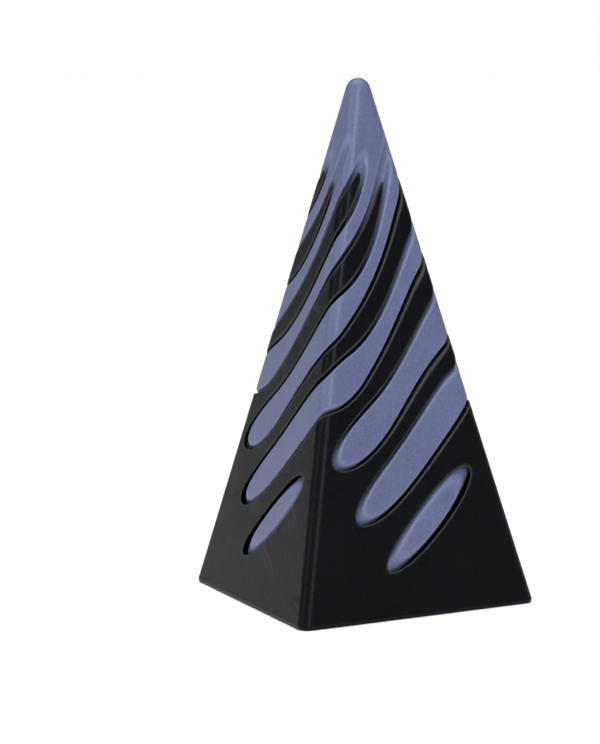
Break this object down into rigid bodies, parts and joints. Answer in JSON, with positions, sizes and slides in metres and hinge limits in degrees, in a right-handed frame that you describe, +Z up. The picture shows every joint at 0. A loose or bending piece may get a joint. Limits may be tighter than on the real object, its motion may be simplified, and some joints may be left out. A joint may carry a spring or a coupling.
{
  "type": "pyramid twisty puzzle",
  "caption": "Tall square pyramid puzzle: a spiral finned core screws straight through a twisted slotted pyramid shell and out of either end.",
  "frame": {"origin": "centre of the square base, on the surface that the puzzle stands on", "axes": "+Z up the screw axis to the tip, +X and +Y out through the middles of two sides of the base"},
  "size_m": [0.0298, 0.0298, 0.06],
  "materials": {
    "black_shell": "satin black printed or moulded plastic with a fine matt grain",
    "slate_core": "satin slate-blue plastic with a fine matt grain"
  },
  "bodies": {
    "shell": {"shell_fin_1": "black_shell", "shell_fin_2": "black_shell", "shell_fin_3": "black_shell", "shell_fin_4": "black_shell", "shell_fin_5": "black_shell", "shell_fin_6": "black_shell", "shell_fin_7": "black_shell", "shell_fin_8": "black_shell"},
    "core_slide": {"core_column": "slate_core"},
    "core": {"core_petal_1": "slate_core", "core_petal_2": "slate_core", "core_petal_3": "slate_core", "core_petal_4": "slate_core", "core_petal_5": "slate_core", "core_petal_6": "slate_core", "core_petal_7": "slate_core", "core_petal_8": "slate_core", "core_tip": "slate_core"}
  },
  "joints": [
    {"name": "core_travel", "type": "slide", "parent": "shell", "child": "core_slide", "axis": [0, 0, 1], "range_m": [-0.06, 0.052]},
    {"name": "core_turn", "type": "hinge", "parent": "core_slide", "child": "core", "pos_m": [0, 0, 0], "axis": [0, 0, 1], "range_deg": [-325, 282]}
  ],
  "couplings": [
    {"joint": "core_turn", "follows": "core_travel", "rad_per_m": 94.342}
  ]
}
